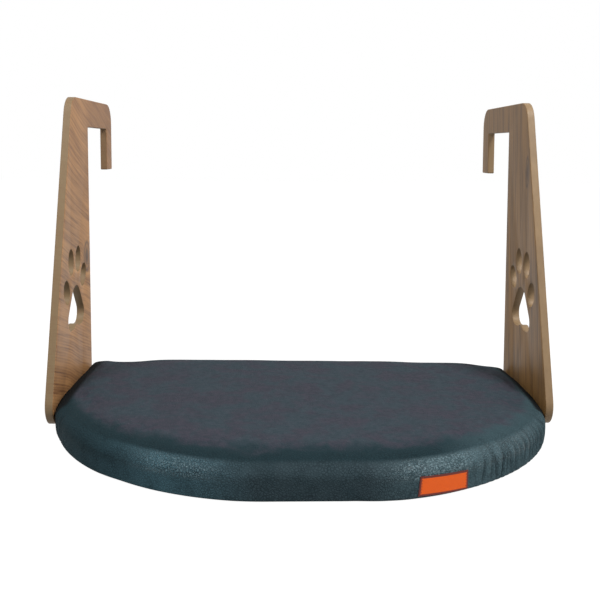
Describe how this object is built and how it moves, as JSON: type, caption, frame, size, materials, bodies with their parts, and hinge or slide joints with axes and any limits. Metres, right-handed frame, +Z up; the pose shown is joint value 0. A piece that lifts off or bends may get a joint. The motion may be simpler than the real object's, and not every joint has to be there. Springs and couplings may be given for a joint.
{
  "type": "radiator cat bed",
  "caption": "Cat bed that hangs on a radiator: flat wooden side panels with hooks and paw cut-outs hold a padded D-shaped seat in imitation leather.",
  "frame": {"origin": "under the middle of the whole bed's box, level with the lining's lower face", "axes": "+X to the right as seen from the front, -Y towards the seat's rounded front, +Y towards the hooks and the wall, +Z up"},
  "size_m": [0.5058, 0.468, 0.33],
  "materials": {
    "panel_wood": "light brown wood, matt lacquer",
    "board": "raw plywood",
    "foam": "open-cell polyurethane foam",
    "wadding": "white polyester wadding",
    "cover": "distressed blue-grey imitation leather, satin",
    "lining": "black non-woven lining",
    "staple_wire": "galvanised wire",
    "bolt_steel": "nickel-plated furniture bolt",
    "nut_steel": "zinc-plated barrel nut",
    "tag": "orange woven tag with darker edges"
  },
  "bodies": {
    "root": {"left_side_panel": "panel_wood", "right_side_panel": "panel_wood", "seat_board": "board", "foam_pad": "foam", "wadding_layer": "wadding", "seat_cover": "cover", "underside_lining": "lining", "cover_staples": "staple_wire", "lining_staples": "staple_wire", "panel_bolts": "bolt_steel", "barrel_nuts": "nut_steel", "label_tag": "tag"}
  },
  "joints": []
}
